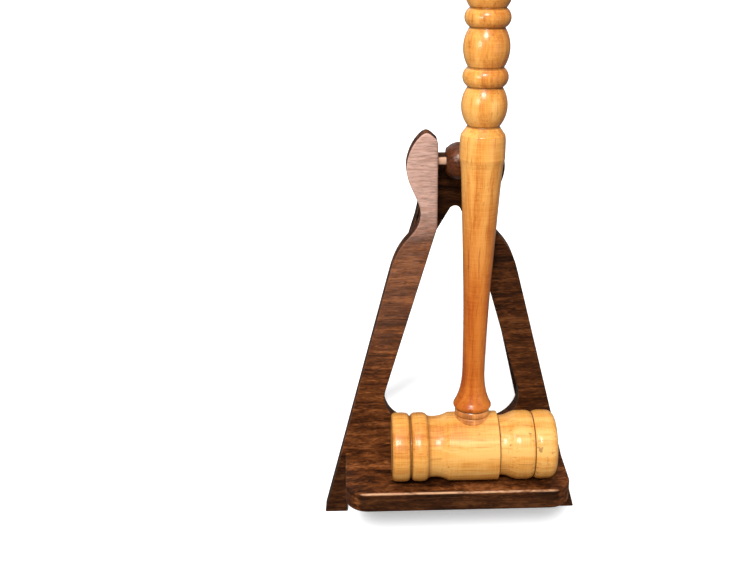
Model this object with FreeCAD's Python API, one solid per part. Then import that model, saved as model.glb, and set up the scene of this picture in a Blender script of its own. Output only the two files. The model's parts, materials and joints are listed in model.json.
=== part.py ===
"""Turned mallet on a hinged wooden display stand, in millimetres.

The stand is an A: a front frame with two ears and a ledge, and a rear frame that hangs from a wooden
dowel between the ears. The mallet's barrel lies on the ledge and its handle leans on the hinge knuckle.
Everything is drawn in the front frame's own plane first (x across, y to the back, z up the board),
then leaned back and centred on the floor under the object.
"""
import FreeCAD
import Part
import math
import os

Vec = FreeCAD.Vector
AXIS_X = Vec(1, 0, 0)
AXIS_Y = Vec(0, 1, 0)
AXIS_Z = Vec(0, 0, 1)

# ---- driving dimensions ----
LEAN = 10.0                 # front frame leans back from upright, degrees
SPLAY = 20.0                # angle between the two frames when the stand is open, degrees
BOARD = 19.0                # front frame thickness
EDGE_ROUND = 1.6            # sanded edge radius on the boards
FOOT_SPARE = 6.0            # length left on the feet before they are trimmed to the floor

FOOT_OUTER = 150.0          # half width of the front frame at the floor
LEG_TAPER = 0.257           # how much each outer edge closes in per millimetre of height
FOOT_WIDTH = 27.0
ARCH_TOP = 48.0             # top of the arch between the feet
ARCH_ROUND = 22.0
SHOULDER = 302.0            # height where the straight leg ends
WINDOW_BOTTOM = 118.0
WINDOW_HALF = 89.3          # half width of the window at its sill, before the corners are rounded
WINDOW_ROUND = 36.0
WINDOW_TOP = 362.0          # where the legs' inner edges meet the gap between the ears
GAP_HALF = 18.6             # half of the gap between the ears
EAR_TOP = 466.8

HINGE_UP = 434.0            # hinge axis up the board
DOWEL_R = 4.2
DOWEL_HALF = 50.0
HINGE_PLAY = 0.06           # running clearance of the knuckle on the dowel
KNUCKLE_R = 20.0
KNUCKLE_HALF = 14.0
KNUCKLE_X = 4.2             # the knuckle sits off centre, close to the right ear
KNUCKLE_END_R = 13.5

REAR_BOARD = 16.0
REAR_GAP = 10.3             # hinge axis to the rear frame's front face
REAR_TOP = 7.0              # rear frame starts this far below the hinge axis
REAR_NECK_HALF = 31.0
BRIDGE_HALF = 12.5          # rounded block on the rear frame that the knuckle is glued to
BRIDGE_R = 12.0
BRIDGE_BACK = 2.0
BRIDGE_DOWN = 6.0
REAR_LEG = 18.0
REAR_SPREAD = 0.226          # leg centre line moves out by this much per millimetre down
REAR_SPREAD_START = 14.5
REAR_NECK = 90.0            # where the neck's sides run into the legs, below the hinge axis
REAR_CROTCH = 153.5         # where the legs' inner edges start
REAR_ARCH = 70.5            # where the legs part, below the hinge axis
REAR_ARCH_ROUND = 6.0
REAR_TOP_ROUND = 8.0

SHELF_UP = 58.4             # underside of the ledge above the front edge of the feet
SHELF_T = 23.9
SHELF_DEPTH = 88.0
SHELF_LEFT = 124.0          # the ledge reaches a little further to the right
SHELF_RIGHT = 128.5
SHELF_CORNER = 25.0
SHELF_ROUND = 2.2

SCREW_X = (-84.0, 0.0, 84.0)
SCREW_SHANK_R = 2.2
SCREW_HEAD_R = 4.2
SCREW_HEAD_T = 2.6
SCREW_LENGTH = 45.0
SCREW_SLOT = 1.0
PLUG_R = 4.8
PLUG_T = 5.0
PEG_X = (-46.0, 46.0)
PEG_R = 4.0
PEG_IN_FRAME = 12.0
PEG_IN_SHELF = 24.0

HEAD_R = 38.5
HEAD_LEFT = -88.0           # barrel ends, measured from the handle
HEAD_RIGHT = 93.5
HEAD_X = 16.8               # the mallet stands this far right of the stand's middle
HEAD_SETBACK = 35.0         # barrel axis behind the ledge's front edge
REST_GAP = 0.3              # air between loose or moving parts
HANDLE_REST = 28.0          # handle axis in front of the frame at hinge height
HANDLE_TILT = 1.3           # the handle is set this much out of square in the head, degrees
CONE_TOP = 361.0            # top of the cone above the long taper, from the barrel's axis
BALLS_AND_RINGS = ((39.5, 19.5), (39.0, 19.0))
BALL_R = 23.6
RING_R = 23.3
POMMEL_R = 13.0
TENON_R = 9.0
TENON_END = 36.5
COLLAR_R = 19.4
COLLAR_TOP = 47.5
COLLAR_WAIST_R = 17.5
COLLAR_FOOT = 28.0          # the collar is turned down to here before the barrel's curve is cut from it
WEDGE_WIDTH = 14.0
WEDGE_DEPTH = 24.0
WEDGE_THICK = 3.0
WEDGE_TIP = 0.5
FIT = 0.03                  # glue line between a round tenon, peg or plug and its hole


def wire_of(start, steps, plane):
    """A wire from start through steps; a step is a point, or (middle, end) for an arc, or a list for a spline.

    A spline between two straight runs leaves and arrives in line with them.
    """
    before = None
    here = start
    edges = []
    for index, step in enumerate(steps):
        if isinstance(step, list):
            points = [plane(*p) for p in [here] + step]
            after = steps[index + 1]
            curve = Part.BSplineCurve()
            if before is None or isinstance(after[0], tuple):
                curve.interpolate(points)
            else:
                curve.interpolate(Points=points, InitialTangent=points[0] - plane(*before),
                                  FinalTangent=plane(*after) - points[-1])
            edges.append(curve.toShape())
            before = None
            here = step[-1]
        elif isinstance(step[0], tuple):
            middle, end = step
            edges.append(Part.Arc(plane(*here), plane(*middle), plane(*end)).toShape())
            before = None
            here = end
        else:
            edges.append(Part.LineSegment(plane(*here), plane(*step)).toShape())
            before = here
            here = step
    return Part.Wire(edges)


def across(x, z):
    """A point of a board outline."""
    return Vec(x, 0, z)


def round_corner(before, corner, after, radius):
    """Where an arc of that radius leaves the first line, and (middle, end) of the arc into the second line."""
    at = across(*corner)
    back = (across(*before) - at).normalize()
    ahead = (across(*after) - at).normalize()
    half = back.getAngle(ahead) / 2
    inward = (back + ahead).normalize()
    start = at + back * (radius / math.tan(half))
    end = at + ahead * (radius / math.tan(half))
    middle = at + inward * (radius / math.sin(half) - radius)
    return (start.x, start.z), ((middle.x, middle.z), (end.x, end.z))


def board_from_half(start, steps, thickness):
    """A flat board symmetric about x = 0, from the outline of its right half."""
    half = Part.Face(wire_of(start, steps, across)).extrude(Vec(0, thickness, 0))
    other = half.mirror(Vec(0, 0, 0), AXIS_X)
    return half.fuse(other).removeSplitter()


def round_long_edges(shape, radius, y_values):
    """Rounds the outline edges that lie in the board's two faces."""
    picked = []
    for edge in shape.Edges:
        box = edge.BoundBox
        flat = box.YLength < 1e-4
        if flat and any(abs(box.YMin - y) < 1e-4 for y in y_values):
            picked.append(edge)
    return shape.makeFillet(radius, picked)


def cylinder_y(x, y, z, radius, length):
    return Part.makeCylinder(radius, length, Vec(x, y, z), AXIS_Y)


def cylinder_x(x, y, z, radius, length):
    return Part.makeCylinder(radius, length, Vec(x, y, z), AXIS_X)


def turned(start, steps, along):
    """A lathe-turned solid: a profile of (distance along the axis, radius) spun about the axis."""
    plane = (lambda a, r: Vec(a, 0, r)) if along is AXIS_X else (lambda a, r: Vec(r, 0, a))
    profile = wire_of(start, steps, plane)
    return Part.Face(profile).revolve(Vec(0, 0, 0), along, 360)


# ---- the stand ----
def front_frame():
    foot_inner = FOOT_OUTER - FOOT_WIDTH
    outer_at = lambda z: FOOT_OUTER - LEG_TAPER * z
    ear = [(64.3, 328.0), (53.4, 346.0), (41.2, 361.5), (36.9, 378.0), (44.2, 401.0), (52.2, 429.0),
           (47.4, 449.0), (38.8, 462.0), (30.4, EAR_TOP), (22.4, 461.5), (GAP_HALF, 449.0)]
    window_start, window_turn = round_corner((GAP_HALF, WINDOW_TOP), (WINDOW_HALF, WINDOW_BOTTOM),
                                             (0.0, WINDOW_BOTTOM), WINDOW_ROUND)
    arch_turn = ARCH_ROUND * (1 - math.sqrt(0.5))
    steps = [
        (foot_inner - ARCH_ROUND, ARCH_TOP),
        ((foot_inner - arch_turn, ARCH_TOP - arch_turn), (foot_inner, ARCH_TOP - ARCH_ROUND)),
        (foot_inner, -FOOT_SPARE),
        (outer_at(-FOOT_SPARE), -FOOT_SPARE),
        (outer_at(SHOULDER), SHOULDER),
        ear,
        (GAP_HALF, WINDOW_TOP),
        window_start,
        window_turn,
        (0.0, WINDOW_BOTTOM),
        (0.0, ARCH_TOP),
    ]
    board = board_from_half((0.0, ARCH_TOP), steps, BOARD)
    return round_long_edges(board, EDGE_ROUND, (0.0, BOARD))


def shelf():
    left = SHELF_CORNER - SHELF_LEFT
    right = SHELF_RIGHT - SHELF_CORNER
    turn = SHELF_CORNER * math.sqrt(0.5)
    flat = lambda x, y: Vec(x, y, SHELF_UP)
    outline = wire_of((-SHELF_LEFT, 0.0), [
        (-SHELF_LEFT, SHELF_CORNER - SHELF_DEPTH),
        ((left - turn, SHELF_CORNER - turn - SHELF_DEPTH), (left, -SHELF_DEPTH)),
        (right, -SHELF_DEPTH),
        ((right + turn, SHELF_CORNER - turn - SHELF_DEPTH), (SHELF_RIGHT, SHELF_CORNER - SHELF_DEPTH)),
        (SHELF_RIGHT, 0.0),
        (-SHELF_LEFT, 0.0),
    ], flat)
    solid = Part.Face(outline).extrude(Vec(0, 0, SHELF_T))
    rounded = []
    for edge in solid.Edges:
        box = edge.BoundBox
        if box.ZLength < 1e-4 and box.YMin < -1.0:
            rounded.append(edge)
    return solid.makeFillet(SHELF_ROUND, rounded)


def screw(x):
    """A slotted countersunk wood screw driven forwards from the back of the frame."""
    z = SHELF_UP + SHELF_T / 2
    head_back = BOARD - PLUG_T
    head = Part.makeCone(SCREW_SHANK_R, SCREW_HEAD_R, SCREW_HEAD_T, Vec(x, head_back - SCREW_HEAD_T, z), AXIS_Y)
    tip = SCREW_LENGTH * 0.15
    shank_end = head_back - SCREW_LENGTH + tip
    shank = cylinder_y(x, shank_end, z, SCREW_SHANK_R, head_back - SCREW_HEAD_T - shank_end)
    point = Part.makeCone(0.3, SCREW_SHANK_R, tip, Vec(x, shank_end - tip, z), AXIS_Y)
    slot = Part.makeBox(2 * SCREW_HEAD_R, SCREW_SLOT, SCREW_SLOT,
                        Vec(x - SCREW_HEAD_R, head_back - SCREW_SLOT, z - SCREW_SLOT / 2))
    return head.fuse([shank, point]).removeSplitter().cut(slot)


def screw_hole(x):
    z = SHELF_UP + SHELF_T / 2
    head_back = BOARD - PLUG_T
    deep = cylinder_y(x, head_back - SCREW_LENGTH, z, SCREW_SHANK_R + FIT, SCREW_LENGTH)
    seat = cylinder_y(x, head_back - SCREW_HEAD_T, z, SCREW_HEAD_R + FIT, SCREW_HEAD_T)
    plug_hole = cylinder_y(x, head_back, z, PLUG_R + FIT, PLUG_T + 1)
    return deep.fuse([seat, plug_hole])


def screw_plug(x):
    return cylinder_y(x, BOARD - PLUG_T, SHELF_UP + SHELF_T / 2, PLUG_R, PLUG_T)


def shelf_peg(x, spare=0.0):
    length = PEG_IN_FRAME + PEG_IN_SHELF
    return cylinder_y(x, -PEG_IN_SHELF - spare, SHELF_UP + SHELF_T / 2, PEG_R + spare, length + 2 * spare)


def hinge_dowel(spare=0.0):
    return cylinder_x(-DOWEL_HALF, BOARD / 2, HINGE_UP, DOWEL_R + spare, 2 * DOWEL_HALF)


def hinge_knuckle():
    """A turned bead that rides on the dowel; its crown is one arc from end to end, its ends are flat."""
    crown = turned((-KNUCKLE_HALF, 0.0), [
        (-KNUCKLE_HALF, KNUCKLE_END_R),
        ((0.0, KNUCKLE_R), (KNUCKLE_HALF, KNUCKLE_END_R)),
        (KNUCKLE_HALF, 0.0),
        (-KNUCKLE_HALF, 0.0),
    ], AXIS_X)
    crown.translate(Vec(KNUCKLE_X, BOARD / 2, HINGE_UP))
    bore = cylinder_x(-DOWEL_HALF, BOARD / 2, HINGE_UP, DOWEL_R + HINGE_PLAY, 2 * DOWEL_HALF)
    return crown.cut(bore)


def rear_frame(knuckle):
    """The rear frame, one board of two legs, in its folded position just behind the front frame."""
    leg_at = lambda s: REAR_SPREAD_START + REAR_SPREAD * s
    half = REAR_LEG / 2
    reach = HINGE_UP + 2 * FOOT_SPARE
    crotch_x = leg_at(REAR_CROTCH) - half
    crotch_drop = REAR_CROTCH - REAR_ARCH - REAR_ARCH_ROUND
    touch = (math.acos(REAR_ARCH_ROUND / math.hypot(crotch_x, crotch_drop)) - math.atan2(crotch_drop, crotch_x))
    on_arch = lambda angle: (REAR_ARCH_ROUND * math.cos(angle),
                             REAR_ARCH_ROUND * (math.sin(angle) - 1) - REAR_ARCH)
    top_start, top_turn = round_corner((0.0, -REAR_TOP), (REAR_NECK_HALF, -REAR_TOP),
                                       (leg_at(REAR_NECK) + half, -REAR_NECK), REAR_TOP_ROUND)
    steps = [
        top_start,
        top_turn,
        (leg_at(REAR_NECK) + half, -REAR_NECK),
        (leg_at(reach) + half, -reach),
        (leg_at(reach) - half, -reach),
        (crotch_x, -REAR_CROTCH),
        on_arch(touch),
        (on_arch((touch + math.pi / 2) / 2), (0.0, -REAR_ARCH)),
        (0.0, -REAR_TOP),
    ]
    board = board_from_half((0.0, -REAR_TOP), steps, REAR_BOARD)
    board = round_long_edges(board, EDGE_ROUND, (0.0, REAR_BOARD))
    board.translate(Vec(KNUCKLE_X, BOARD / 2 + REAR_GAP, HINGE_UP))
    seat = cylinder_x(KNUCKLE_X - KNUCKLE_HALF - 1.0, BOARD / 2, HINGE_UP, KNUCKLE_R + 2.0, 2 * KNUCKLE_HALF + 2.0)
    bridge = cylinder_x(KNUCKLE_X - BRIDGE_HALF, BOARD / 2 + REAR_GAP + BRIDGE_BACK, HINGE_UP - BRIDGE_DOWN,
                        BRIDGE_R, 2 * BRIDGE_HALF)
    return board.fuse(bridge).removeSplitter().cut(knuckle_solid(knuckle, seat))


def knuckle_solid(knuckle, seat):
    """The knuckle with its bore filled, so that the frame is hollowed to take it."""
    return knuckle.fuse(hinge_dowel(HINGE_PLAY).common(seat)).removeSplitter()


# ---- the mallet, about its own handle: x along the barrel, z up the handle ----
def ease_off(along, radius, run, drop):
    """An arc that leaves a cylinder tangentially and drops away: (middle, end) for a turned profile."""
    bend = (run * run + drop * drop) / (2 * drop)
    half = math.asin(run / bend) / 2
    middle = (along + bend * math.sin(half), radius - bend * (1 - math.cos(half)))
    return middle, (along + run, radius - drop)


def ease_on(along, radius, run, drop):
    """The same arc the other way round: it climbs for run and ends tangent to the cylinder at along."""
    middle, start = ease_off(-along, radius, run, drop)
    return (-middle[0], middle[1]), (along, radius)


def mallet_head():
    rim = HEAD_R - 0.4
    steps = [
        (HEAD_LEFT, 34.4),
        ((HEAD_LEFT + 1.1, 36.9), (HEAD_LEFT + 3.8, rim)),
        ((-78.5, HEAD_R), (-72.8, rim)),
        ((-69.8, 36.9), (-68.3, 34.6)),
        (-67.1, 34.6),
        ((-65.0, 37.2), (-61.0, rim)),
        ((-57.3, HEAD_R), (-53.6, rim)),
        ((-49.9, 36.8), (-47.8, 34.6)),
        ((-38.5, 34.1), (-25.5, HEAD_R - 0.3)),
        (0.0, HEAD_R),
        (29.0, HEAD_R - 0.2),
        (29.8, 33.4),
        ((36.5, 33.7), (43.5, 36.2)),
        ((47.7, 37.6), (52.0, HEAD_R - 0.2)),
        (60.5, HEAD_R - 0.2),
        ((64.9, 37.6), (67.6, 36.3)),
        (68.4, 35.3),
        (69.2, 36.3),
        ((72.4, 37.7), (77.0, HEAD_R - 0.2)),
        (83.5, rim),
        ((90.4, 36.0), (HEAD_RIGHT, 31.5)),
        (HEAD_RIGHT, 0.0),
        (HEAD_LEFT, 0.0),
    ]
    barrel = turned((HEAD_LEFT, 0.0), steps, AXIS_X)
    return barrel.cut(handle_place(Part.makeCylinder(TENON_R + FIT, 3 * HEAD_R, Vec(0, 0, -1.5 * HEAD_R))))


def handle():
    """One turning: tenon, flared foot, long taper, two ball-and-ring pairs and a ball at the top."""
    taper = [(59.5, 17.6), (70.0, 14.4), (88.0, 12.3), (124.0, 12.6), (171.0, 13.9), (218.0, 16.1),
             (283.0, 19.5), (316.0, 21.6), (328.0, 23.6)]
    steps = [
        (COLLAR_TOP, TENON_R),
        (COLLAR_TOP, COLLAR_WAIST_R),
        ((49.6, 20.3), (54.0, 20.2)),
        taper,
        (347.0, 23.5),
        (352.0, 22.8),
        (CONE_TOP, 16.4),
    ]
    neck = CONE_TOP
    for ball, ring in BALLS_AND_RINGS:
        steps.append(((neck + ball / 2, BALL_R), (neck + ball, 17.8)))
        neck += ball
        steps.append(((neck + ring / 2, RING_R), (neck + ring, 18.2)))
        neck += ring
    steps.append(((neck + 19.5, BALL_R), (neck + 37.0, POMMEL_R)))
    crown = neck + 37.0
    turn = POMMEL_R * math.sqrt(0.5)
    steps.append(((crown + turn, turn), (crown + POMMEL_R, 0.0)))
    steps.append((-TENON_END, 0.0))
    steps.append((-TENON_END, TENON_R))
    turning = turned((-TENON_END, TENON_R), steps, AXIS_Z)
    return turning.cut(handle_wedge())


def handle_wedge():
    """A thin oak wedge, driven into the end of the tenon under the barrel."""
    z = -TENON_END
    low = WEDGE_THICK / 2
    high = WEDGE_TIP / 2
    side = lambda x, zz: Vec(x, -WEDGE_WIDTH / 2, zz)
    outline = wire_of((-low, z), [(low, z), (high, z + WEDGE_DEPTH), (-high, z + WEDGE_DEPTH), (-low, z)], side)
    return Part.Face(outline).extrude(Vec(0, WEDGE_WIDTH, 0))


def handle_collar(head):
    """The bead between barrel and handle, hollowed underneath to sit on the barrel."""
    steps = [
        (COLLAR_TOP, TENON_R + FIT),
        (COLLAR_TOP, COLLAR_WAIST_R),
        ((44.2, 18.9), (40.6, 18.3)),
        (39.8, 18.0),
        ((35.4, COLLAR_R), (COLLAR_FOOT, 17.2)),
        (COLLAR_FOOT, TENON_R + FIT),
    ]
    bead = turned((COLLAR_FOOT, TENON_R + FIT), steps, AXIS_Z)
    return handle_place(bead).cut(head)


def handle_place(shape):
    """The handle stands a little out of square in the head."""
    placed = shape.copy()
    placed.rotate(Vec(0, 0, 0), AXIS_Y, HANDLE_TILT)
    return placed


# ---- assembly ----
SHELF_TOP = SHELF_UP + SHELF_T
MALLET_AT = Vec(HEAD_X, HEAD_SETBACK - SHELF_DEPTH, SHELF_TOP + HEAD_R + REST_GAP)
MALLET_LEAN = math.degrees(math.atan2(-HANDLE_REST - MALLET_AT.y, HINGE_UP - MALLET_AT.z))


def lean_back(shape):
    placed = shape.copy()
    placed.rotate(Vec(0, 0, 0), AXIS_X, -LEAN)
    return placed


def open_rear(shape):
    """Swings a rear part from folded to open about the dowel."""
    placed = shape.copy()
    placed.rotate(Vec(0, BOARD / 2, HINGE_UP), AXIS_X, SPLAY)
    return placed


def place_mallet(shape):
    placed = shape.copy()
    placed.rotate(Vec(0, 0, 0), AXIS_X, -MALLET_LEAN)
    placed.translate(MALLET_AT)
    return placed


def trim_to_floor(shape):
    box = shape.BoundBox
    below = Part.makeBox(box.XLength + 20, box.YLength + 20, 60, Vec(box.XMin - 10, box.YMin - 10, -60))
    return shape.cut(below)


def build():
    frame = front_frame().cut([screw_hole(x) for x in SCREW_X])
    frame = frame.cut([shelf_peg(x, FIT) for x in PEG_X])
    frame = frame.cut(hinge_dowel(FIT))
    ledge = shelf().cut([screw_hole(x) for x in SCREW_X])
    ledge = ledge.cut([shelf_peg(x, FIT) for x in PEG_X])
    knuckle = hinge_knuckle()
    head = mallet_head()
    dowel = hinge_dowel()
    pieces = {
        "front_frame": trim_to_floor(lean_back(frame)),
        "shelf": lean_back(ledge),
        "shelf_screws": lean_back(Part.makeCompound([screw(x) for x in SCREW_X])),
        "screw_plugs": lean_back(Part.makeCompound([screw_plug(x) for x in SCREW_X])),
        "shelf_pegs": lean_back(Part.makeCompound([shelf_peg(x) for x in PEG_X])),
        "hinge_dowel": lean_back(dowel),
        "hinge_knuckle": lean_back(open_rear(knuckle)),
        "rear_frame": trim_to_floor(lean_back(open_rear(rear_frame(knuckle)))),
        "mallet_head": lean_back(place_mallet(head)),
        "mallet_handle": lean_back(place_mallet(handle_place(handle()))),
        "handle_collar": lean_back(place_mallet(handle_collar(head))),
        "handle_wedge": lean_back(place_mallet(handle_place(handle_wedge()))),
    }
    return pieces


def leaned(point):
    """A point of the front frame's plane after the lean."""
    angle = math.radians(LEAN)
    return Vec(point.x, point.y * math.cos(angle) + point.z * math.sin(angle),
               point.z * math.cos(angle) - point.y * math.sin(angle))


def centre_shift(pieces):
    """How far the object moves along y, so that the origin is under the middle of its box."""
    boxes = [shape.optimalBoundingBox(False) for shape in pieces.values()]
    return -(min(b.YMin for b in boxes) + max(b.YMax for b in boxes)) / 2


PIECES = build()
SHIFT = Vec(0, centre_shift(PIECES), 0)
HINGE_POINT = leaned(Vec(0, BOARD / 2, HINGE_UP)) + SHIFT
TIP_POINT = leaned(MALLET_AT) + SHIFT

os.makedirs("parts", exist_ok=True)
for name, shape in PIECES.items():
    shape.translate(SHIFT)
    shape.exportStep("parts/" + name + ".step")
    solids = shape.Solids
    print(name, "solids", len(solids), "valid", shape.isValid(), "volume", round(shape.Volume))
print("hinge", HINGE_POINT, "tip", TIP_POINT, "mallet lean", round(MALLET_LEAN, 2))
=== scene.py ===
"""A turned mallet of golden maple leaning on a dark oak display stand.

The boards are the frame's own shapes with a stained finish. The turned pieces are lathe surfaces:
a profile of distance along the axis and radius, carried round the axis.
"""

import json
import math

import bpy
import numpy as np
from mathutils import Matrix, Vector


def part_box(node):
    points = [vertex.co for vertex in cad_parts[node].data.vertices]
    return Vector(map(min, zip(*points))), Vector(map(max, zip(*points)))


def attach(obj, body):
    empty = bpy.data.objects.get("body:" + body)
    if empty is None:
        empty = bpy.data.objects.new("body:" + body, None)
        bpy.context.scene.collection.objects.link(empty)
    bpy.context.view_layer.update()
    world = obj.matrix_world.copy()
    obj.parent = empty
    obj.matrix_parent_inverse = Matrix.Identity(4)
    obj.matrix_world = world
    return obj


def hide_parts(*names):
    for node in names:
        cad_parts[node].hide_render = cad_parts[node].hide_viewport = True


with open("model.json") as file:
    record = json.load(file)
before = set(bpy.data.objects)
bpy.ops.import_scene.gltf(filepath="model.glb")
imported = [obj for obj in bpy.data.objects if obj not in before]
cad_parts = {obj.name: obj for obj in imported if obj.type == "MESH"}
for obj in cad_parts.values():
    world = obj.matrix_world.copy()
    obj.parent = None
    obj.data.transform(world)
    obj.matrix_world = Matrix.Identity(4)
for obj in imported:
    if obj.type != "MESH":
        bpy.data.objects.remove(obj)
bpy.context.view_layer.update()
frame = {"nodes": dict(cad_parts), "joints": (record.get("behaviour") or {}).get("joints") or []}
MM = 0.001

# ---- the object's own directions, from the frame ----
LEAN = math.radians(10.0)                             # the front frame leans back
JOINT = {j["name"]: j for j in frame["joints"]}
HINGE_AT = Vector(JOINT["rear_fold"]["pos_m"])
BARREL_AT = Vector(JOINT["mallet_tip"]["pos_m"])
SPLAY = -math.radians(JOINT["rear_fold"]["range_deg"][0])
MALLET_LEAN = math.radians(4.57)                      # the handle leans back this much more
HANDLE_TILT = math.radians(1.3)                       # the handle is a little out of square in the barrel

BOARD = 19.0 * MM
EDGE_ROUND = 1.6 * MM
BOARD_FRAME = Matrix.Translation(HINGE_AT) @ Matrix.Rotation(-LEAN, 4, "X")
REAR_FRAME = Matrix.Translation(HINGE_AT) @ Matrix.Rotation(SPLAY - LEAN, 4, "X")
BARREL_FRAME = Matrix.Translation(BARREL_AT) @ Matrix.Rotation(-LEAN - MALLET_LEAN, 4, "X")
HANDLE_FRAME = BARREL_FRAME @ Matrix.Rotation(HANDLE_TILT, 4, "Y")
KNUCKLE_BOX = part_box("hinge_knuckle")
KNUCKLE_AT = Vector(((KNUCKLE_BOX[0][0] + KNUCKLE_BOX[1][0]) / 2, HINGE_AT.y, HINGE_AT.z))
KNUCKLE_FRAME = Matrix.Translation(KNUCKLE_AT) @ Matrix.Rotation(SPLAY - LEAN, 4, "X")


# ---- profiles and lathe surfaces ----
STEP = 0.45                                           # spacing of the rings on a profile, mm


def line_points(start, end):
    """Evenly spaced points from start to end, without the start."""
    count = max(1, int(math.dist(start, end) / STEP))
    share = np.linspace(0, 1, count + 1)[1:, None]
    return np.array(start) * (1 - share) + np.array(end) * share


def arc_points(start, middle, end):
    """Points on the circle through start, middle and end, in that order, without the start."""
    (ax, ay), (bx, by), (cx, cy) = start, middle, end
    twice = 2 * (ax * (by - cy) + bx * (cy - ay) + cx * (ay - by))
    a2, b2, c2 = ax * ax + ay * ay, bx * bx + by * by, cx * cx + cy * cy
    centre = np.array([a2 * (by - cy) + b2 * (cy - ay) + c2 * (ay - by),
                       a2 * (cx - bx) + b2 * (ax - cx) + c2 * (bx - ax)]) / twice
    radius = math.dist(centre, start)
    angles = np.unwrap([math.atan2(y - centre[1], x - centre[0]) for x, y in (start, middle, end)])
    count = max(3, int(abs(angles[2] - angles[0]) * radius / STEP))
    swept = np.linspace(angles[0], angles[2], count + 1)[1:, None]
    return centre + radius * np.concatenate([np.cos(swept), np.sin(swept)], axis=1)


def spline_points(start, through):
    """A curve through all the points: each stretch is a cubic whose end slopes point at its neighbours."""
    knots = np.array([start] + list(through), float)
    slopes = np.gradient(knots, axis=0)
    pieces = []
    for a, b, slope_a, slope_b in zip(knots[:-1], knots[1:], slopes[:-1], slopes[1:]):
        t = np.linspace(0, 1, max(2, int(math.dist(a, b) / STEP)) + 1)[1:, None]
        pieces.append((2 * t**3 - 3 * t**2 + 1) * a + (t**3 - 2 * t**2 + t) * slope_a
                      + (3 * t**2 - 2 * t**3) * b + (t**3 - t**2) * slope_b)
    return np.concatenate(pieces)


def profile(start, steps):
    """The profile from start through steps: a point, (middle, end) for an arc, or a list for a curve."""
    here = start
    runs = [np.array([start], float)]
    for step in steps:
        if isinstance(step, list):
            runs.append(spline_points(here, step))
            here = step[-1]
        elif isinstance(step[0], tuple):
            runs.append(arc_points(here, *step))
            here = step[1]
        else:
            runs.append(line_points(here, step))
            here = step
    return np.concatenate(runs)


def ease_off(along, radius, run, drop):
    """An arc that leaves a cylinder tangentially and drops away: (middle, end)."""
    bend = (run * run + drop * drop) / (2 * drop)
    half = math.asin(run / bend) / 2
    middle = (along + bend * math.sin(half), radius - bend * (1 - math.cos(half)))
    return middle, (along + run, radius - drop)


def ease_on(along, radius, run, drop):
    """The same arc the other way round: it climbs for run and ends tangent to the cylinder at along."""
    middle, start = ease_off(-along, radius, run, drop)
    return (-middle[0], middle[1]), (along, radius)


def new_mesh(name, points, faces):
    mesh = bpy.data.meshes.new(name)
    mesh.from_pydata(points, [], faces)
    mesh.polygons.foreach_set("use_smooth", np.ones(len(mesh.polygons), bool))
    piece = bpy.data.objects.new(name, mesh)
    bpy.context.scene.collection.objects.link(piece)
    return piece


def lathe(name, outline, place, axis, around=160, wear=None):
    """A turned surface: at distance a and angle t it is (a, r cos t, r sin t), r the outline's radius at a.

    wear(a, t, r) gives how much to take off the radius, in mm. The outline's first and last points lie on
    the axis, so each end closes in one pole. place puts the piece's own axes where it stands.
    """
    rings = outline[1:-1]
    turn = np.linspace(0, 2 * math.pi, around, endpoint=False)[None, :]
    along = rings[:, :1] + 0 * turn
    radius = rings[:, 1:] + 0 * turn
    if wear is not None:
        radius = np.maximum(radius - wear(along, turn, radius), 0.01)
    side, up = radius * np.cos(turn), radius * np.sin(turn)
    grid = np.stack([along, side, up] if axis == "X" else [side, up, along], axis=-1).reshape(-1, 3)
    ends = [[outline[0][0], 0, 0], [outline[-1][0], 0, 0]]
    if axis != "X":
        ends = [[0, 0, outline[0][0]], [0, 0, outline[-1][0]]]
    points = np.concatenate([grid, ends]) * MM
    turned_to = np.array(place)
    points = points @ turned_to[:3, :3].T + turned_to[:3, 3]
    ring, spoke = np.meshgrid(np.arange(len(rings) - 1), np.arange(around), indexing="ij")
    here, beside = ring * around + spoke, ring * around + (spoke + 1) % around
    quads = np.stack([here, beside, beside + around, here + around], axis=-1).reshape(-1, 4)
    spokes = np.arange(around)
    last = (len(rings) - 1) * around
    first_pole = len(rings) * around
    low = np.stack([(spokes + 1) % around, spokes, 0 * spokes + first_pole], axis=-1)
    high = np.stack([last + spokes, last + (spokes + 1) % around, 0 * spokes + first_pole + 1], axis=-1)
    faces = quads.tolist() + low.tolist() + high.tolist()
    return new_mesh(name, points, [face[::-1] for face in faces])


def dents(seed, count, length, start, depth, size):
    """Shallow round dings: (distance along, angle, depth in mm, width in mm) for each."""
    pick = np.random.default_rng(seed)
    return np.stack([start + length * pick.random(count), 2 * math.pi * pick.random(count),
                     depth * (0.3 + 0.7 * pick.random(count)), size * (0.5 + pick.random(count))], axis=-1)


def knocked(spots):
    """wear for lathe(): faint tool ripples along the axis, with each ding a soft round hollow."""
    def wear(along, turn, radius):
        ripple = 0.012 * np.sin(along * 2.1 + 0.4 * np.sin(along * 0.37))
        off = 0.02 + ripple + 0.03 * np.sin(2 * turn + 0.6)**2
        for at, angle, depth, width in spots:
            across = radius * np.abs(np.angle(np.exp(1j * (turn - angle))))
            off = off + depth * np.exp(-((along - at)**2 + across**2) / width**2)
        return off
    return wear


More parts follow.
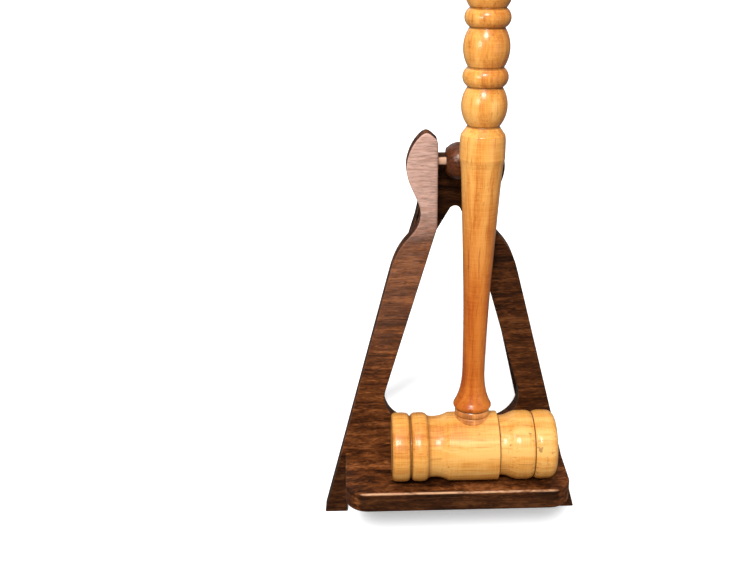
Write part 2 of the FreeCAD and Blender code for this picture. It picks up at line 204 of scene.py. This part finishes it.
# ---- finishes ----
class Value:
    """One socket of a finish. Arithmetic on it adds Math nodes."""

    def __init__(self, finish, socket):
        self.finish = finish
        self.socket = socket

    def _math(self, operation, *terms):
        return self.finish.add("ShaderNodeMath", {"operation": operation}, dict(enumerate(terms)))

    def __add__(self, other):
        return self._math("ADD", self, other)

    def __sub__(self, other):
        return self._math("SUBTRACT", self, other)

    def __rsub__(self, other):
        return self._math("SUBTRACT", other, self)

    def __mul__(self, other):
        return self._math("MULTIPLY", self, other)

    def __pow__(self, other):
        return self._math("POWER", self, other)

    __radd__ = __add__
    __rmul__ = __mul__

    def size(self):
        return self._math("ABSOLUTE", self)

    def wave(self):
        """Sine of this value."""
        return self._math("SINE", self)

    def between(self, low, high):
        """0 at low and 1 at high, clamped, with soft ends."""
        settings = {"interpolation_type": "SMOOTHSTEP"}
        limits = {"Value": self, "From Min": low, "From Max": high}
        return self.finish.add("ShaderNodeMapRange", settings, limits)


class Finish:
    """A material under construction."""

    def __init__(self, name):
        self.material = bpy.data.materials.new(name)
        self.material.use_nodes = True
        self.tree = self.material.node_tree
        self.tree.nodes.clear()

    def add(self, kind, settings=None, inputs=None, out=0):
        """Adds a node, sets it up, feeds its sockets, and returns one output."""
        node = self.tree.nodes.new(kind)
        for key, setting in (settings or {}).items():
            if key == "stops":
                ramp = node.color_ramp
                while len(ramp.elements) < len(setting):
                    ramp.elements.new(0.5)
                for element, (position, colour) in zip(ramp.elements, setting):
                    element.position = position
                    element.color = (*colour, 1)
            else:
                setattr(node, key, setting)
        for key, value in (inputs or {}).items():
            if isinstance(value, Value):
                self.tree.links.new(value.socket, node.inputs[key])
            else:
                node.inputs[key].default_value = value
        return Value(self, node.outputs[out]) if node.outputs else None

    def place(self, matrix, stretch=(1, 1, 1)):
        """Object coordinates in the piece's own axes, then stretched."""
        turn = matrix.to_euler("XYZ")
        raw = self.add("ShaderNodeTexCoord", out=3)
        own = self.add("ShaderNodeMapping", {"vector_type": "TEXTURE"},
                       {"Vector": raw, "Location": matrix.to_translation(), "Rotation": turn})
        return self.stretched(own, stretch)

    def stretched(self, place, by):
        """The place with each coordinate multiplied: a small factor draws a pattern out that way."""
        return self.add("ShaderNodeVectorMath", {"operation": "MULTIPLY"}, {0: place, 1: by})

    def axes(self, place):
        """The three coordinates of a place, each as a Value."""
        split = self.tree.nodes.new("ShaderNodeSeparateXYZ")
        self.tree.links.new(place.socket, split.inputs[0])
        return [Value(self, output) for output in split.outputs]

    def noise(self, place, scale, detail=4.0, rough=0.55, warp=0.0):
        return self.add("ShaderNodeTexNoise", {}, {"Vector": place, "Scale": scale, "Detail": detail,
                                                   "Roughness": rough, "Distortion": warp})

    def pushed(self, place, amount, scale):
        """The place moved about by a soft noise, so that straight grain wanders."""
        drift = self.add("ShaderNodeTexNoise", {}, {"Vector": place, "Scale": scale, "Detail": 2.0}, out=1)
        centred = self.add("ShaderNodeVectorMath", {"operation": "SUBTRACT"}, {0: drift, 1: (0.5, 0.5, 0.5)})
        shift = self.add("ShaderNodeVectorMath", {"operation": "SCALE"}, {0: centred, "Scale": amount})
        return self.add("ShaderNodeVectorMath", {"operation": "ADD"}, {0: place, 1: shift})

    def blend(self, mask, low, high, how="MIX"):
        """Colour low where the mask is 0, and high where it is 1."""
        settings = {"data_type": "RGBA", "blend_type": how}
        low, high = [c if isinstance(c, Value) else (*c, 1) for c in (low, high)]
        return self.add("ShaderNodeMix", settings, {0: mask, 6: low, 7: high}, out=2)

    def ramp(self, value, *stops):
        return self.add("ShaderNodeValToRGB", {"stops": stops}, {"Fac": value})

    def done(self, colour, roughness, height, depth, coat=0.0, coat_rough=0.2, specular=0.5, glow=0.0):
        """Closes the finish: colour, roughness and a bump of that height in metres."""
        bump = self.add("ShaderNodeBump", {}, {"Height": height, "Strength": 1.0, "Distance": depth})
        surface = self.add("ShaderNodeBsdfPrincipled", {}, {
            "Base Color": colour, "Roughness": roughness, "Normal": bump, "Specular IOR Level": specular,
            "Coat Weight": coat, "Coat Roughness": coat_rough,
            "Emission Color": (1, 1, 1, 1), "Emission Strength": glow})
        self.add("ShaderNodeOutputMaterial", {}, {"Surface": surface})
        return self.material


def stained_board(name, place, thickness, lit=1.0, wear_and_painted_light=None):
    """Dark stained oak ply: grain across the board, fine ripple, open pores, rubbed edges.

    Local axes: x across, y through the thickness, z up the board. The rubbed band is the rounded
    edge itself, where y is within one edge radius of either face.
    """
    f = Finish(name)
    own = f.place(place)
    x, y, z = f.axes(own)
    wander = f.pushed(own, 0.012, 9.0)
    flow = f.stretched(wander, (0.22, 1.0, 2.2))
    bands = f.noise(flow, 60.0, 6.0, 0.62, 0.7)
    fine = f.stretched(wander, (0.16, 1.0, 3.4))
    pores = f.noise(fine, 430.0, 3.0, 0.6)
    pore = pores.between(0.56, 0.68)
    ripple_at = f.stretched(wander, (0.5, 1.0, 2.6))
    ripple = f.noise(ripple_at, 190.0, 2.0, 0.5, 1.2)
    patch = f.noise(own, 11.0, 3.0)
    tone = 0.5 * bands + 0.3 * ripple + 0.2 * patch
    # A lit below 1 scales every tone darker: painted shade for a board that stands in shadow.
    colour = f.ramp(tone, (0.40, (0.014 * lit, 0.0040 * lit, 0.0012 * lit)),
                    (0.47, (0.062 * lit, 0.0170 * lit, 0.0040 * lit)),
                    (0.53, (0.130 * lit, 0.0380 * lit, 0.0090 * lit)),
                    (0.60, (0.270 * lit, 0.0900 * lit, 0.0260 * lit)))
    colour = f.blend(pore * 0.75, colour, (0.010, 0.0035, 0.0018))
    face = (y - thickness / 2).size()
    edge = face.between(thickness / 2 - 1.5 * EDGE_ROUND, thickness / 2 - 0.4 * EDGE_ROUND)
    on_arris = edge * (1 - face.between(thickness / 2 - 0.4 * EDGE_ROUND, thickness / 2 - 0.1 * EDGE_ROUND))
    chipped = f.noise(own, 75.0, 5.0, 0.7).between(0.5, 0.62)
    colour = f.blend(on_arris * (0.25 + 0.5 * chipped), colour, (0.26, 0.11, 0.045))
    ply = (y * 2900.0).wave().between(-0.5, 0.7)
    side = 1 - face.between(thickness / 2 - 1.3 * EDGE_ROUND, thickness / 2 - 1.0 * EDGE_ROUND)
    colour = f.blend(side * ply * 0.55, colour, (0.016, 0.006, 0.003))
    # The extra marks passed in may paint light and shade as well as wear.
    if wear_and_painted_light is not None:
        colour = wear_and_painted_light(f, x, y, z, colour)
    roughness = 0.36 + 0.22 * pores + 0.12 * patch
    height = 0.6 * ripple - 0.9 * pore + 0.35 * bands
    return f.done(colour, roughness, height, 0.00022, specular=0.10)


def maple(name, place, axis, pale, gold, brown, groove_shade=(), deep=None, stains=0.0, gloss=0.22):
    """Varnished maple: long soft bands, short fine pores along the grain, turning lines round it.

    Each seam is (distance along, half width, strength): a groove or neck painted darker, painted shade in
    the hollow.
    deep is (distance, distance, tint): tint multiplies the colour up to the first and is gone by the second.
    """
    f = Finish(name)
    own = f.place(place)
    along = f.axes(own)["XZ".index(axis) * 2]
    long_way = {"X": (0.07, 1.0, 1.0), "Z": (1.0, 1.0, 0.07)}[axis]
    short_way = {"X": (0.045, 1.0, 1.0), "Z": (1.0, 1.0, 0.045)}[axis]
    round_way = {"X": (1.0, 0.03, 0.03), "Z": (0.03, 0.03, 1.0)}[axis]
    wander = f.pushed(own, 0.006, 14.0)
    flow = f.stretched(wander, long_way)
    bands = f.noise(flow, 95.0, 5.0, 0.55, 0.6)
    fine = f.stretched(wander, short_way)
    pores = f.noise(fine, 900.0, 3.0, 0.6)
    cloud = f.noise(own, 16.0, 3.0, 0.5)
    turned = f.stretched(own, round_way)
    lines = f.noise(turned, 1100.0, 3.0, 0.7)
    tone = 0.42 * bands + 0.22 * cloud + 0.18 * pores + 0.18 * lines
    colour = f.ramp(tone, (0.40, brown), (0.49, gold), (0.58, pale))
    flecks = f.noise(fine, 420.0, 2.0, 0.5).between(0.60, 0.70)
    colour = f.blend(flecks * 0.45, colour, [c * 0.62 for c in brown])
    if deep is not None:
        low, high, tint = deep
        tinted = f.blend(1.0, colour, tint, "MULTIPLY")
        colour = f.blend(along.between(low * MM, high * MM), tinted, colour)
    # Painted shade: the colour darkens towards brown in each listed groove and neck.
    for at, half, strength in groove_shade:
        hollow = 1 - (along - at * MM).size().between(0.2 * half * MM, half * MM)
        colour = f.blend(hollow * (strength * (0.7 + 0.5 * cloud)), colour, [c * 0.28 for c in brown])
    if stains:
        spots = f.noise(own, 120.0, 3.0, 0.6).between(0.62, 0.70)
        spots = spots * f.noise(own, 18.0, 1.0).between(0.46, 0.60)
        colour = f.blend(spots * stains, colour, (0.11, 0.045, 0.014))
    smear = f.noise(own, 30.0, 4.0, 0.6)
    roughness = gloss + 0.12 * smear + 0.06 * flecks
    height = 0.4 * pores + 0.4 * bands + 0.5 * lines - 0.8 * flecks
    return f.done(colour, roughness, height, 0.00006, coat=0.22, coat_rough=0.16, specular=0.3)


def rings_of_growth(f, place, at, pale, dark, per_metre=900.0):
    """End-grain rings about the z axis, a little off centre."""
    shifted = f.add("ShaderNodeVectorMath", {"operation": "SUBTRACT"}, {0: place, 1: at})
    across, through, up = f.axes(shifted)
    reach = (across * across + through * through) ** 0.5
    bent = reach + 0.004 * f.noise(place, 35.0, 2.0)
    return f.blend((bent * per_metre).wave().between(-0.8, 0.9), pale, dark)


def plain_wood(name, place, stretch, pale, dark, roughness):
    """Bare or stained small wood: streaks along its length and fine pores."""
    f = Finish(name)
    own = f.place(place, stretch)
    streak = f.noise(own, 260.0, 4.0, 0.6, 0.4)
    pore = f.noise(own, 900.0, 2.0).between(0.58, 0.68)
    colour = f.ramp(streak, (0.34, dark), (0.66, pale))
    colour = f.blend(pore * 0.4, colour, [c * 0.5 for c in dark])
    return f.done(colour, roughness + 0.12 * streak, streak - pore, 0.00008, specular=0.3)


def end_grain(name, place, pale, dark, roughness):
    """Small round end grain: growth rings, pores and a dry surface."""
    f = Finish(name)
    own = f.place(place)
    colour = rings_of_growth(f, own, (0.03, 0.0, 0.01), pale, dark, 2600.0)
    pore = f.noise(own, 1400.0, 2.0).between(0.55, 0.66)
    colour = f.blend(pore * 0.5, colour, [c * 0.4 for c in dark])
    return f.done(colour, roughness + 0.1 * pore, 0 - pore, 0.0001)


def steel(name):
    f = Finish(name)
    own = f.place(BOARD_FRAME)
    scratch = f.noise(own, 900.0, 3.0, 0.7)
    colour = f.ramp(scratch, (0.3, (0.30, 0.29, 0.28)), (0.7, (0.52, 0.51, 0.50)))
    bump = f.add("ShaderNodeBump", {}, {"Height": scratch, "Strength": 1.0, "Distance": 0.00003})
    surface = f.add("ShaderNodeBsdfPrincipled", {}, {"Base Color": colour, "Metallic": 1.0,
                                                     "Roughness": 0.3 + 0.2 * scratch, "Normal": bump})
    f.add("ShaderNodeOutputMaterial", {}, {"Surface": surface})
    return f.material


def paint(piece, material):
    piece.data.materials.clear()
    piece.data.materials.append(material)


# ---- the boards ----
HINGE_UP = 434.0 * MM
SHELF_DEPTH = 88.0 * MM
SHELF_T = 23.9 * MM
SHELF_UP = 58.4 * MM
REAR_BOARD = 16.0 * MM
REAR_GAP = 10.3 * MM                                  # hinge axis to the rear board's front face
NO_PLY = 4 * SHELF_DEPTH                              # so thick that the ledge shows no ply edge of its own
board_axes = BOARD_FRAME @ Matrix.Translation((0, -BOARD / 2, -HINGE_UP))
rear_axes = REAR_FRAME @ Matrix.Translation((0, REAR_GAP, -HINGE_UP))


def rubbed_ledge(f, x, y, z, colour):
    """The ledge's front face is grimed dark; its top front edge is rubbed to bare wood by the barrel."""
    front = 1 - (y + SHELF_DEPTH).between(1.2 * MM, 3.0 * MM)
    under_top = 1 - z.between(SHELF_UP + SHELF_T - 3.0 * MM, SHELF_UP + SHELF_T - 1.5 * MM)
    colour = f.blend(front * under_top * 0.66, colour, (0.010, 0.0032, 0.0010))
    near_front = 1 - (y + SHELF_DEPTH).between(0.8 * MM, 2.6 * MM)
    near_top = z.between(SHELF_UP + SHELF_T - 2.4 * MM, SHELF_UP + SHELF_T - 0.8 * MM)
    broken = f.noise(f.place(board_axes, (0.3, 1, 1)), 110.0, 5.0, 0.7).between(0.40, 0.58)
    return f.blend(near_front * near_top * (0.20 + 0.75 * broken), colour, (0.60, 0.34, 0.19))


def painted_light_on_front_frame(f, x, y, z, colour):
    """Painted glare on the left ear's face, painted light on the left leg, painted shade on the feet and the
    right leg.
    """
    mottle = f.noise(f.place(board_axes, (1, 1, 1.6)), 42.0, 4.0, 0.6)
    streaks = f.noise(f.place(board_axes, (0.3, 1, 2.4)), 170.0, 4.0, 0.65).between(0.36, 0.64)
    # Painted highlight: a patchy pinkish glare on the left ear's face.
    ear = z.between(335 * MM, 392 * MM) * (1 - x.between(-24 * MM, -12 * MM))
    # Painted light: the left leg's face is made lighter, patchy and streaked.
    leg = 0.75 * z.between(150 * MM, 330 * MM) * (1 - x.between(-40 * MM, 0.0))
    front = 1 - y.between(0.6 * MM, 2.2 * MM)
    colour = f.blend(leg * front * mottle * (0.4 + 0.6 * streaks), colour, (0.36, 0.165, 0.100))
    colour = f.blend(ear * front * (0.30 + 0.35 * mottle + 0.35 * streaks), colour, (0.66, 0.42, 0.34))
    # Painted shade: the board darkens towards the bottom, at the feet below the ledge.
    low_painted_shade = (1 - z.between(40 * MM, 105 * MM)) * 0.6
    colour = f.blend(low_painted_shade, colour, (0.012, 0.0035, 0.0010))
    # Painted shade: the right side of the frame is painted darker.
    return f.blend(x.between(10 * MM, 60 * MM) * 0.42, colour, (0.014, 0.0042, 0.0012))


nodes = frame["nodes"]
paint(nodes["front_frame"], stained_board("dark_stained_wood", board_axes, BOARD, wear_and_painted_light=painted_light_on_front_frame))
# The rear board's colour is scaled to 0.45: painted shade, as it stands in shadow behind the front frame.
paint(nodes["rear_frame"], stained_board("stained_rear_painted_shade", rear_axes, REAR_BOARD, lit=0.45))
paint(nodes["shelf"], stained_board("dark_stained_ledge", board_axes, NO_PLY, wear_and_painted_light=rubbed_ledge))
paint(nodes["screw_plugs"], end_grain("plug_wood", board_axes,
                                      (0.10, 0.04, 0.018), (0.03, 0.012, 0.006), 0.5))
paint(nodes["shelf_pegs"], end_grain("peg_wood", board_axes,
                                     (0.60, 0.42, 0.24), (0.42, 0.27, 0.14), 0.6))
paint(nodes["shelf_screws"], steel("screw_steel"))
paint(nodes["hinge_dowel"], plain_wood("pale_dowel", board_axes, (0.08, 1, 1),
                                       (0.66, 0.40, 0.27), (0.44, 0.23, 0.13), 0.55))

# ---- the turned pieces ----
HEAD_R = 38.5
HEAD_LEFT = -88.0
HEAD_RIGHT = 93.5
RIM = HEAD_R - 0.4
CENTRE_HOLE = 1.4                                     # left by the lathe's centres, one in each end
barrel_outline = profile((HEAD_LEFT + 1.2, 0.0), [
    (HEAD_LEFT + 1.2, CENTRE_HOLE), (HEAD_LEFT + 0.2, 2.6), (HEAD_LEFT, 9.0), (HEAD_LEFT, 19.4),
    (HEAD_LEFT + 0.7, 20.0), (HEAD_LEFT, 20.6), (HEAD_LEFT, 34.4),
    ((HEAD_LEFT + 1.1, 36.9), (HEAD_LEFT + 3.8, RIM)), ((-78.5, HEAD_R), (-72.8, RIM)),
    ((-69.8, 36.9), (-68.3, 34.6)), (-67.1, 34.6), ((-65.0, 37.2), (-61.0, RIM)),
    ((-57.3, HEAD_R), (-53.6, RIM)), ((-49.9, 36.8), (-47.8, 34.6)),
    ((-38.5, 34.1), (-25.5, HEAD_R - 0.3)), (0.0, HEAD_R), (29.0, HEAD_R - 0.2), (29.8, 33.4),
    ((36.5, 33.7), (43.5, 36.2)), ((47.7, 37.6), (52.0, HEAD_R - 0.2)), (60.5, HEAD_R - 0.2),
    ((64.9, 37.6), (67.6, 36.3)), (68.4, 35.3), (69.2, 36.3), ((72.4, 37.7), (77.0, HEAD_R - 0.2)),
    (83.5, RIM), ((90.4, 36.0), (HEAD_RIGHT, 31.5)),
    (HEAD_RIGHT, 20.6), (HEAD_RIGHT - 0.7, 20.0), (HEAD_RIGHT, 19.4), (HEAD_RIGHT, 9.0),
    (HEAD_RIGHT - 0.2, 2.6), (HEAD_RIGHT - 1.2, CENTRE_HOLE), (HEAD_RIGHT - 1.2, 0.0)])
mallet_head = lathe("barrel", barrel_outline, BARREL_FRAME, "X",
                    wear=knocked(dents(5, 26, 180.0, -88.0, 0.28, 2.4)))

COLLAR_TOP = 47.5
COLLAR_WAIST_R = 17.5
CONE_TOP = 361.0
BALLS_AND_RINGS = ((39.5, 19.5), (39.0, 19.0))
BALL_R = 23.6
RING_R = 23.3
POMMEL_R = 13.0
TENON_R = 9.0
TENON_END = 36.5
handle_steps = [
    (-TENON_END, TENON_R), (COLLAR_TOP, TENON_R), (COLLAR_TOP, COLLAR_WAIST_R), ((49.6, 20.3), (54.0, 20.2)),
    [(59.5, 17.6), (70.0, 14.4), (88.0, 12.3), (124.0, 12.6), (171.0, 13.9), (218.0, 16.1), (283.0, 19.5),
     (316.0, 21.6), (328.0, 23.6)],
    (347.0, 23.5), (352.0, 22.8), (CONE_TOP, 16.4)]
neck = CONE_TOP
for ball, ring in BALLS_AND_RINGS:
    handle_steps.append(((neck + ball / 2, BALL_R), (neck + ball, 17.8)))
    neck += ball
    handle_steps.append(((neck + ring / 2, RING_R), (neck + ring, 18.2)))
    neck += ring
crown = neck + 37.0
turn = POMMEL_R * math.sqrt(0.5)
handle_steps.append(((neck + 19.5, BALL_R), (crown, POMMEL_R)))
handle_steps.append(((crown + turn, turn), (crown + POMMEL_R, 0.0)))
mallet_handle = lathe("handle", profile((-TENON_END, 0.0), handle_steps), HANDLE_FRAME, "Z", around=128,
                      wear=knocked(dents(11, 34, 520.0, 50.0, 0.22, 2.0)))
COLLAR_FOOT = 28.0
collar_outline = profile((COLLAR_FOOT, 0.0), [
    (COLLAR_FOOT, 17.2), ((35.4, 19.4), (39.8, 18.0)), (40.6, 18.3),
    ((44.2, 18.9), (COLLAR_TOP, COLLAR_WAIST_R)), (COLLAR_TOP, 0.0)])
handle_collar = lathe("collar", collar_outline, HANDLE_FRAME, "Z", around=128)

KNUCKLE_HALF = 14.0
knuckle_outline = profile((-KNUCKLE_HALF, 0.0), [
    (-KNUCKLE_HALF, 12.9), (-KNUCKLE_HALF + 0.6, 13.7), ((0.0, 20.0), (KNUCKLE_HALF - 0.6, 13.7)),
    (KNUCKLE_HALF, 12.9), (KNUCKLE_HALF, 0.0)])
hinge_knuckle = lathe("knuckle", knuckle_outline, KNUCKLE_FRAME, "X", around=128,
                      wear=knocked(dents(3, 6, 26.0, -13.0, 0.2, 1.6)))

# ---- finishes of the turned pieces ----
# Grooves and necks that get painted shade: (distance along, half width, strength).
BARREL_GROOVE_SHADE = ((-67.7, 2.6, 0.9), (-47.6, 3.2, 0.45), (29.8, 1.5, 0.9), (68.4, 1.1, 1.0))
handle_groove_shade = [(COLLAR_TOP, 1.6, 0.9), (CONE_TOP, 2.0, 0.7)]
above = CONE_TOP
for ball, ring in BALLS_AND_RINGS:
    handle_groove_shade.extend([(above + ball, 2.0, 0.7), (above + ball + ring, 2.0, 0.7)])
    above += ball + ring
COLLAR_GROOVE_SHADE = ((40.2, 0.9, 0.8), (COLLAR_TOP, 1.2, 0.9))
DARKER_FOOT = (150.0, 352.0, (0.70, 0.42, 0.22))      # the varnish is redder down the handle
paint(mallet_head, maple("maple_barrel", BARREL_FRAME, "X",
                         (0.83, 0.44, 0.122), (0.74, 0.325, 0.062), (0.52, 0.172, 0.024),
                         groove_shade=BARREL_GROOVE_SHADE, stains=0.6, gloss=0.38))
paint(mallet_handle, maple("maple_handle", HANDLE_FRAME, "Z",
                           (0.84, 0.42, 0.105), (0.72, 0.295, 0.055), (0.50, 0.150, 0.020),
                           groove_shade=handle_groove_shade, deep=DARKER_FOOT, stains=0.25, gloss=0.24))
paint(handle_collar, maple("cherry_collar", HANDLE_FRAME, "Z",
                           (0.78, 0.330, 0.100), (0.58, 0.215, 0.054), (0.35, 0.112, 0.026),
                           groove_shade=COLLAR_GROOVE_SHADE, gloss=0.24))
paint(hinge_knuckle, plain_wood("knuckle_wood", KNUCKLE_FRAME, (0.12, 1, 1),
                                (0.125, 0.032, 0.008), (0.034, 0.009, 0.003), 0.24))
paint(nodes["handle_wedge"], end_grain("wedge_wood", HANDLE_FRAME,
                                       (0.34, 0.19, 0.09), (0.20, 0.10, 0.045), 0.6))

for piece, body, node, slot in (
        (mallet_head, "mallet", "mallet_head", "maple_barrel"),
        (mallet_handle, "mallet", "mallet_handle", "maple_handle"),
        (handle_collar, "mallet", "handle_collar", "cherry_collar"),
        (hinge_knuckle, "rear_leg", "hinge_knuckle", "knuckle_wood")):
    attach(piece, body)
    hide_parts(node)

# ---- floor, light and camera ----
floor_mesh = bpy.data.meshes.new("floor")
floor_mesh.from_pydata([(-6, -6, 0), (6, -6, 0), (6, 6, 0), (-6, 6, 0)], [], [(0, 1, 2, 3)])
floor = bpy.data.objects.new("floor", floor_mesh)
bpy.context.scene.collection.objects.link(floor)
pale = Finish("pale_floor")
speckle = pale.noise(pale.place(Matrix.Identity(4)), 6.0, 2.0)
floor_colour = pale.ramp(speckle, (0.3, (0.87, 0.87, 0.87)), (0.7, (0.89, 0.89, 0.89)))
paint(floor, pale.done(floor_colour, 0.9, speckle, 0.0001, glow=0.35))
floor.visible_diffuse = False                         # the pale floor throws no haze up onto the dark stain
floor.visible_glossy = False


def lamp(name, at, aim, size, power, tint=(1, 1, 1)):
    """A square soft light at a point, turned to another."""
    data = bpy.data.lights.new(name, "AREA")
    data.size = size
    data.energy = power
    data.color = tint
    light = bpy.data.objects.new(name, data)
    light.location = at
    light.rotation_euler = (Vector(aim) - Vector(at)).to_track_quat("-Z", "Y").to_euler()
    bpy.context.scene.collection.objects.link(light)


AIM = (0.0, 0.0, 0.28)
lamp("near the left ear", (-0.26, -0.30, 0.72), (-0.04, 0.0, 0.40), 0.14, 1.0)
lamp("fill", (1.3, -1.1, 0.8), AIM, 1.0, 3)
lamp("top", (0.1, 0.4, 2.1), AIM, 1.6, 12)
lamp("back", (-0.6, 1.5, 1.1), AIM, 1.2, 4)
key_light = bpy.data.lights.new("key", "SUN")
key_light.energy = 3.5
key_light.angle = math.radians(18)
key = bpy.data.objects.new("key", key_light)
key.rotation_euler = Vector((0.16, 0.62, -0.86)).to_track_quat("-Z", "Y").to_euler()
bpy.context.scene.collection.objects.link(key)

world = bpy.data.worlds.new("studio")
world.use_nodes = True
sky = world.node_tree.nodes["Background"]
sky.inputs["Color"].default_value = (1, 1, 1, 1)
rays = world.node_tree.nodes.new("ShaderNodeLightPath")
level = world.node_tree.nodes.new("ShaderNodeMapRange")
level.inputs["To Min"].default_value = 0.22           # what lights the object
level.inputs["To Max"].default_value = 1.0            # what the eye sees behind it
world.node_tree.links.new(rays.outputs["Is Camera Ray"], level.inputs["Value"])
world.node_tree.links.new(level.outputs["Result"], sky.inputs["Strength"])
bpy.context.scene.world = world

CAMERA_AT = (-0.1084, -1.0171, 0.9566)
CAMERA_DOWN = math.radians(33.41)
CAMERA_RIGHT = math.radians(1.06)
CAMERA_ROLL = math.radians(-0.57)
lens = bpy.data.cameras.new("camera")
lens.sensor_width = 36.0
lens.lens = 53.15
lens.clip_start = 0.05
camera = bpy.data.objects.new("camera", lens)
bpy.context.scene.collection.objects.link(camera)
camera.matrix_world = (Matrix.Translation(CAMERA_AT) @ Matrix.Rotation(-CAMERA_RIGHT, 4, "Z")
                       @ Matrix.Rotation(math.pi / 2 - CAMERA_DOWN, 4, "X")
                       @ Matrix.Rotation(CAMERA_ROLL, 4, "Z"))
bpy.context.scene.camera = camera
bpy.context.scene.view_settings.view_transform = "Standard"
